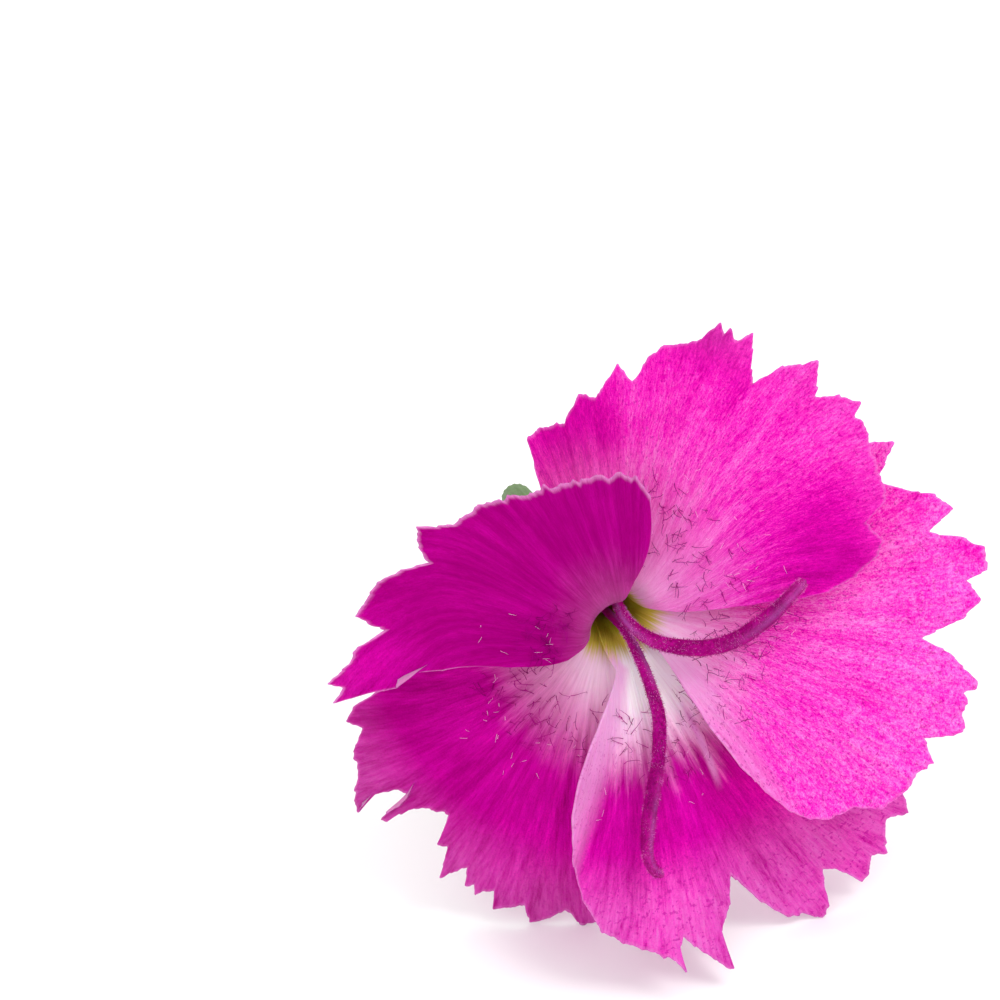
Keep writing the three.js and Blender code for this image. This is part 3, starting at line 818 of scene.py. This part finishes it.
def green_finish(name, light, dark, blush, rib_scale, specks=0.25, shine=0.4):
    """A waxy green skin: ribs of lighter green, cloudy patches, a reddish blush at its tips and a
    scatter of pale specks."""
    finish = Finish(
        name, Specular_IOR_Level=shine, Subsurface_Weight=0.1, Subsurface_Scale=0.0005,
        Subsurface_Radius=(0.6, 1.0, 0.3),
    )
    side, length = finish.across_and_along()
    cloud = finish.noise(finish.vector(side * 0.5, length * 0.3), 1.0, 3.0, 0.6)
    fibre = finish.noise(finish.vector(side * rib_scale, length * 0.35), 1.0, 3.0, 0.6)
    speck = finish.noise(finish.vector(side * 7, length * 5), 1.0, 2.0, 0.5).between(0.62, 0.72)
    colour = finish.mix((cloud * 0.5 + fibre * 0.5).between(0.3, 0.7), dark, light)
    tip = finish.attribute("edge")
    colour = finish.mix(tip * cloud.between(0.25, 0.6) * 0.8, colour, blush)
    colour = finish.mix(speck * specks, colour, (0.6, 0.68, 0.45))
    finish.colour(colour)
    finish.rough(0.42 + (cloud - 0.5) * 0.3 + speck * 0.1)
    finish.bump(fibre + speck * 0.3, 0.1, 0.5)
    return finish


calyx_green = green_finish(
    "calyx green", (0.24, 0.36, 0.09), (0.10, 0.19, 0.035), (0.30, 0.09, 0.12), 3.0,
)
calyx = skin("calyx_cup", 210, 90, calyx_surface, [calyx_green], CALYX_THICKNESS, rolled=True)
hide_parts("calyx")
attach(calyx, "root")

# %% [markdown]
# ## Bracts
#
# Two pairs of small scales clasp the calyx's foot. Each is a sheet wrapped round the tube, widest
# low down and drawn out to a point that stands off a little. Their edges are dry and papery, which
# the material shows with a paler rim.

# %% The four bracts
BRACT_LENGTH = 9
BRACT_HALF_WIDTH = 50
BRACT_SPACE = 0.3
BRACT_THICKNESS = 0.18


def bract_surface(number):
    """One of the four; the second pair stands outside the first."""
    outwards = CLEARANCE + BRACT_SPACE / 2 + (number % 2) * (BRACT_SPACE + CLEARANCE)
    wrapped = CALYX_OUTER + CALYX_BELLY + outwards
    foot_radius = STEM_RADIUS + outwards

    def surface(s, t):
        wide = 0.12 + 0.88 * (1 - t) * (1 + 1.6 * t)
        if t > 0.9:
            wide *= math.sqrt(max(1 - ((t - 0.9) / 0.1) ** 2, 0.01))
        off_middle = 2 * s - 1
        spread = wrapped - (wrapped - foot_radius) * (1 - t) ** 8 + 0.5 * t ** 3
        keel = 0.12 * math.exp(-(off_middle / 0.12) ** 2) * (1 - t)
        ribs = 0.03 * math.sin(off_middle * 22)
        turn = number * 90 + BRACT_HALF_WIDTH * wide * off_middle
        height = -CALYX_BASE - outwards + BRACT_LENGTH * t
        point = round_tube(turn, spread + keel + ribs, height)
        papery = max(soft_step(abs(off_middle), 0.75, 1), soft_step(t, 0.8, 1))
        return point, (off_middle * 2.5 * wide, BRACT_LENGTH * t), (papery, 0)

    return surface


bract_green = green_finish(
    "bract green", (0.22, 0.33, 0.09), (0.11, 0.20, 0.04), (0.50, 0.45, 0.22), 4.0,
)
for number in range(4):
    surface = bract_surface(number)
    bract = skin(f"bract_{number + 1}_scale", 48, 60, surface, [bract_green], BRACT_THICKNESS)
    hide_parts(f"bract_{number + 1}")
    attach(bract, "root")

# %% [markdown]
# ## Stem
#
# The stem is a rolled grid too, swept along the middle line. It starts at a pole in the middle of
# the cut, so the end is closed, with a sunken pith and a slightly ragged ring where the blade went
# through. Fine ridges run along it, and it thickens a little under the calyx.


# %% The stem
CUT_SHARE = 0.1
CAP_START = 0.97
STEM_RIDGES = 16
STEM_ROUND = 7.2


def stem_surface(s, t):
    """t runs out over the cut, up the stem's wall and in again over its end at the calyx."""
    along = 1 - max(t - CUT_SHARE, 0) / (1 - CUT_SHARE)
    if t > CAP_START:
        along = 0
    here = stem_middle(along)
    ahead = (stem_middle(along - 0.01) - stem_middle(along + 0.01)).normalized()
    across_x = ahead.cross(Vector((0, 1, 0))).normalized()
    across_y = across_x.cross(ahead)
    angle = s * 2 * math.pi
    radius = STEM_RADIUS * (0.94 + 0.06 * soft_step(along, 0.15, 0))
    radius -= 0.025 * math.cos(angle * STEM_RIDGES)
    sunk = 0.0
    if t < CUT_SHARE:
        share = t / CUT_SHARE
        radius *= min(share * 1.15, 1)
        sunk = 0.25 * (1 - share) + 0.06 * math.sin(angle * 5) * share
    if t > CAP_START:
        radius *= (1 - t) / (1 - CAP_START)
    wall = across_x * (math.cos(angle) * radius) + across_y * (math.sin(angle) * radius)
    point = here + wall + ahead * sunk
    on_cut = 1.0 if t < CUT_SHARE else 0.0
    return point, (s * STEM_ROUND, along * STEM_LENGTH), (on_cut, 0)


stem_green = green_finish(
    "stem green", (0.11, 0.21, 0.05), (0.055, 0.11, 0.022), (0.52, 0.56, 0.28), 5.0, 0.1, 0.02,
)
stem = skin("stem_stalk", 96, 150, stem_surface, [stem_green], rolled=True)
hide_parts("stem")
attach(stem, "root")

# %% [markdown]
# ## Pistil
#
# Deep in the tube sits the ovary, and two styles rise from it, pass the mouth and curl out over the
# petals. A style is a tube round a smooth curve through a few points. Its skin is covered with
# papillae, tiny blunt hairs, which make its outline fuzzy and catch the light as sparkles. The tube
# gets low bumps, and real papillae, as very short threads, stand on it all over. Threads are made
# as curve splines, because one spline is the lightest thing in Blender that has a tapered round
# section.

# %% A helper for threads
def threads(name, paths, finish):
    """Many fine tapered threads in one curve; a path is a list of (point, radius), in millimetres."""
    curve = bpy.data.curves.new(name, "CURVE")
    curve.dimensions = "3D"
    curve.bevel_depth = MM
    curve.bevel_resolution = 0
    curve.materials.append(finish.material)
    for path in paths:
        spline = curve.splines.new("POLY")
        spline.points.add(len(path) - 1)
        for knot, (point, radius) in zip(spline.points, path):
            knot.co = (*(place @ point), 1)
            knot.radius = radius
    piece = put(name, curve)
    print(name, len(paths), "threads")
    return piece


def smooth_line(points):
    """Returns at(t), a point on a smooth curve through all the points, and the curve's length."""
    ends = [points[0] * 2 - points[1], *points, points[-1] * 2 - points[-2]]
    runs = [(b - a).length for a, b in zip(points, points[1:])]

    def at(t):
        i, u = leg_at(runs, min(max(t, 0), 1))
        a, b, c, d = ends[i:i + 4]
        return 0.5 * (2 * b + (c - a) * u + (2 * a - 5 * b + 4 * c - d) * u * u
                      + (3 * b - a - 3 * c + d) * u ** 3)

    return at, sum(runs)


print("threads and smooth lines ready")

# %% Ovary and styles
OVARY_TOP = 10.68
OVARY_LENGTH = 8.0
OVARY_RADIUS = 1.05
STYLE_RADIUS = 0.4
STYLE_SWELLING = {"style_right": 1.28, "style_down": 1.12}
STYLE_ROOT = 1.2
STYLE_SPREAD = 0.25
GROOVE_WIDTH = 0.22
GROOVE_DEPTH = 0.13
STYLES = {
    "style_right": [
        (-0.2, 1.0, -3.5), (0.3, 0.2, -0.4), (0.9, -0.9, 1.2), (2.1, -1.9, 1.9), (3.4, -2.4, 2.2),
        (5.1, -2.6, 2.4), (6.7, -2.4, 2.6), (8.1, -1.8, 2.9), (9.7, -0.6, 3.3), (10.9, 0.6, 3.6),
        (11.9, 1.7, 3.7),
    ],
    "style_down": [
        (-0.9, 0.3, -3.5), (-0.1, -0.6, -1.3), (0.9, -1.7, 0.2), (1.8, -3.5, 1.1), (2.5, -5.4, 1.6),
        (2.9, -7.2, 2.2), (2.8, -9.6, 2.8), (2.6, -10.8, 3.2), (2.2, -13.2, 3.7), (2.1, -15, 4.2),
        (2.4, -16.1, 4.6), (3.1, -16.6, 5.0),
    ],
}


def style_tube(points, side, seed, groove_turn, swelling):
    """Returns tube(s, t): at s round a style and t along it, the point on its skin, the direction
    outward there, and the style's length."""
    aside = TUBE_TILT_TOWARDS - math.pi / 2
    spread = Vector((math.cos(aside), math.sin(aside), 0)) * (side * STYLE_SPREAD)
    foot = tube_axis * (OVARY_TOP + STYLE_ROOT) + spread
    at, length = smooth_line([foot, *[Vector(p) for p in points]])

    def tube(s, t):
        here = at(t)
        ahead = (at(t + 0.004) - at(t - 0.004)).normalized()
        across_x = ahead.cross(Vector((0, 0, 1))).normalized()
        across_y = across_x.cross(ahead)
        angle = s * 2 * math.pi
        outward = across_x * math.cos(angle) + across_y * math.sin(angle)
        taper = mix(0.65, swelling, soft_step(t, 0.35, 0.72)) * mix(1, 0.7, soft_step(t, 0.85, 1))
        off_groove = math.sin((angle - groove_turn) / 2) / GROOVE_WIDTH
        groove = GROOVE_DEPTH * math.exp(-off_groove ** 2) * soft_step(t, 0.6, 0.8)
        bump_place = (math.cos(angle) * 1.6, math.sin(angle) * 1.6, t * length * 2.6 + seed)
        radius = STYLE_RADIUS * (taper - groove + 0.07 * noise.noise(Vector(bump_place)))
        if t < 0.004 or t > 0.985:
            radius *= math.sqrt(max(1 - (abs(t - 0.5) - 0.485) / 0.015, 0)) if t > 0.5 else 0
        return here + outward * radius, outward, length

    return tube


def style_finish(name):
    """Velvety magenta with painted glints halfway along, a lilac groove and a paler tip."""
    finish = Finish(
        name, Specular_IOR_Level=0.03, Subsurface_Weight=0.15, Subsurface_Scale=0.0004,
    )
    side, length = finish.across_and_along()
    grain = finish.noise(finish.vector(side * 6, length * 5), 1.0, 2.0, 0.6)
    cloud = finish.noise(finish.vector(side * 0.8, length * 0.5), 1.0, 2.0, 0.5)
    sparkle = finish.node(
        "ShaderNodeTexVoronoi",
        {"voronoi_dimensions": "2D", "feature": "F1"},
        {"Vector": finish.vector(side, length), "Scale": 6.5, "Randomness": 0.9},
    )[0].between(0.28, 0.1)
    patches = (cloud * 0.6 + grain * 0.4).between(0.3, 0.7)
    colour = finish.mix(patches, (0.18, 0.0, 0.09), (0.44, 0.001, 0.23))
    groove = finish.attribute("colour")
    colour = finish.mix(groove * 0.6, colour, (0.42, 0.10, 0.42))
    tip = finish.attribute("edge")
    colour = finish.mix(tip * grain.between(0.3, 0.7) * 0.5, colour, (0.56, 0.05, 0.36))
    # Painted glints: pale specks halfway along each style where the papillae would catch the light.
    glint_paint_mask = sparkle * grain.between(0.52, 0.64) * length.between(22, 17) * length.between(12, 13)
    colour = finish.mix(glint_paint_mask * 0.7, colour, (0.85, 0.35, 0.70))
    finish.colour(colour)
    finish.rough(0.36 + grain * 0.2)
    finish.bump(grain * 0.5 + sparkle, 0.08, 0.8)
    return finish


GROOVES = (1.2, 2.4)
style_skin = style_finish("style velvet")
style_tubes = {}
for index, (name, points) in enumerate(STYLES.items()):
    groove_turn = GROOVES[index]
    tube = style_tube(points, 1 - 2 * index, 5.0 * index, groove_turn, STYLE_SWELLING[name])
    style_tubes[name] = tube

    def style_surface(s, t, tube=tube, groove_turn=groove_turn):
        point, _, length = tube(s, t)
        around = math.exp(-(math.sin((s * 2 * math.pi - groove_turn) / 2) / 0.24) ** 2)
        base = soft_step(t, 0.62, 0.5) * soft_step(t, 0.3, 0.4)
        pale = around * max(soft_step(t, 0.72, 0.9) * 0.7, base)
        return point, (s * 2.5, t * length), (soft_step(t, 0.9, 1.0), pale)

    style = skin(name + "_stalk", 40, 420, style_surface, [style_skin], rolled=True)
    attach(style, "root")
    if index == 0:
        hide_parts("pistil")


def ovary_surface(s, t):
    along = 1 - t
    radius = OVARY_RADIUS * math.sin(math.pi * min(0.5, 0.12 + along)) * math.sqrt(1 - along ** 4)
    radius *= soft_step(t, 1.0, 0.97)
    radius -= 0.04 * math.cos(s * 4 * math.pi) * min(radius, 1)
    height = -(OVARY_TOP + OVARY_LENGTH) + OVARY_LENGTH * along
    return round_tube(s * 360, radius, height), (s * 6, OVARY_LENGTH * along), (0, 0)


ovary_green = green_finish(
    "ovary green", (0.50, 0.58, 0.22), (0.28, 0.38, 0.09), (0.5, 0.5, 0.2), 3.0,
)
ovary = skin("ovary_body", 48, 60, ovary_surface, [ovary_green], rolled=True)
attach(ovary, "root")

# %% Papillae on the styles
PAPILLAE = 2600
chance = random.Random(11)
papilla_finish = Finish(
    "papilla", Roughness=0.4, Specular_IOR_Level=0.06, Subsurface_Weight=0.2,
    Subsurface_Scale=0.0003,
)
place_noise = papilla_finish.noise(
    papilla_finish.node("ShaderNodeTexCoord")[3], 1400.0, 1.0,
).between(0.45, 0.62)
papilla_finish.colour(papilla_finish.mix(place_noise, (0.36, 0.0, 0.19), (0.72, 0.16, 0.52)))

papillae = []
for name, tube in style_tubes.items():
    for _ in range(PAPILLAE):
        s = chance.random()
        t = mix(0.42, 0.995, chance.random())
        point, outward, _ = tube(s, t)
        ahead = tube(s, min(t + 0.01, 1))[0] - tube(s, t - 0.01)[0]
        lean = ahead.normalized() * chance.uniform(-0.2, 0.7)
        size = chance.uniform(0.08, 0.15)
        tip = point + (outward + lean).normalized() * size
        papillae.append([(point - outward * 0.02, 0.016), (tip, 0.007)])
fuzz = threads("style_papillae", papillae, papilla_finish)
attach(fuzz, "root")

# %% [markdown]
# ## Beard hairs
#
# Round the throat each petal wears a beard of dark purple hairs, about a millimetre long and a
# twentieth thick, kinked and here and there forked, lying every way over the pale zone. A hair
# starts on the petal's own surface, found with the same formula that shaped the petal, and wanders
# from there. A few further out are colourless in life and show as glints; here they are short
# straight hairs whose pale colour is a painted glint.

# %% The beard
HAIR_STEPS = 7
HAIR_RADIUS = 0.026
BARB_RADIUS = 0.018
GLINT_RADIUS = 0.011
BARB_CHANCE = 0.3


def petal_spot(surface, s, radius):
    """The point at a share across a petal and a radius from the mouth, and its upward direction."""
    low, high = TUBE_SHARE + BEND_SHARE, 1.0
    for _ in range(12):
        middle = (low + high) / 2
        if surface(s, middle)[1][1] < CLAW_DEPTH + radius - CLAW_RADIUS:
            low = middle
        else:
            high = middle
    point = surface(s, low)[0]
    aside = surface(min(s + 2 / COLUMNS, 1), low)[0] - point
    ahead = surface(s, min(low + 0.01, 1))[0] - point
    return point, aside.cross(ahead).normalized(), ahead.normalized()


def hair_path(point, up, ahead, length, thick, heading, bend):
    """A hair that leans over the petal and bends a little, as a list of (point, radius)."""
    aside = up.cross(ahead)
    turn = chance.gauss(0, bend)
    path = [(point - up * 0.05, thick)]
    here = point
    for step in range(1, HAIR_STEPS):
        heading += turn + chance.gauss(0, bend)
        run = ahead * math.cos(heading) + aside * math.sin(heading)
        climb = up * (0.6 if step < 3 else 0.1)
        here = here + (run + climb).normalized() * (length / (HAIR_STEPS - 1))
        path.append((here, thick * (1 - 0.6 * step / (HAIR_STEPS - 1))))
    return path


# How many hairs, between which shares across the petal, and between which distances from the mouth.
BEARDS = {
    "petal_left": (60, 0.03, 0.42, 4.1, 6.8),
    "petal_top": (105, 0.35, 0.97, 4.4, 9.0),
    "petal_right": (100, 0.38, 0.9, 5.5, 11.0),
    "petal_bottom": (80, 0.2, 0.9, 6.5, 11.5),
    "petal_lower_left": (105, 0.12, 0.75, 6.0, 10.5),
}
dark_hairs = []
painted_glint_hairs = []
for name, (count, s0, s1, near, far) in BEARDS.items():
    for number in range(count):
        s = round(chance.uniform(s0, s1) * COLUMNS) / COLUMNS
        heading = chance.uniform(-math.pi, math.pi)
        if number % 5 == 0:
            point, up, ahead = petal_spot(petal_shapes[name], s, chance.uniform(far - 2, far + 2))
            length = chance.uniform(0.25, 0.6)
            painted_glint_hairs.append(hair_path(point, up, ahead, length, GLINT_RADIUS, heading, 0.02))
            continue
        point, up, ahead = petal_spot(petal_shapes[name], s, chance.uniform(near, far))
        length = chance.uniform(0.5, 1.4)
        path = hair_path(point, up, ahead, length, HAIR_RADIUS, heading, 0.11)
        dark_hairs.append(path)
        for barb, _ in path[2:]:
            if chance.random() < BARB_CHANCE:
                off = heading + chance.choice((-1.1, 1.1))
                length = chance.uniform(0.1, 0.3)
                dark_hairs.append(hair_path(barb, up, ahead, length, BARB_RADIUS, off, 0.1))


def hair_finish(name, root_colour, tip_colour, rough):
    finish = Finish(name, Roughness=rough, Specular_IOR_Level=0.02)
    where = finish.node("ShaderNodeTexCoord")[3]
    patch = finish.noise(where, 900.0, 2.0).between(0.4, 0.6)
    finish.colour(finish.mix(patch, root_colour, tip_colour))
    return finish


dark_finish = hair_finish("dark hair", (0.20, 0.0, 0.11), (0.38, 0.0, 0.22), 0.6)
# These hairs' pale colour is a painted glint.
painted_glint_finish = hair_finish("painted glint hair", (0.85, 0.50, 0.75), (0.95, 0.80, 0.90), 0.2)
for name, paths, finish in (
    ("beard_dark_hairs", dark_hairs, dark_finish),
    ("beard_clear_hairs", painted_glint_hairs, painted_glint_finish),
):
    hairs = threads(name, paths, finish)
    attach(hairs, "root")

# %% The floor's finish
floor_finish = Finish("pale floor", Roughness=0.9, Specular_IOR_Level=0.1)
floor_finish.colour((0.93, 0.93, 0.93))
floor.data.materials.append(floor_finish.material)
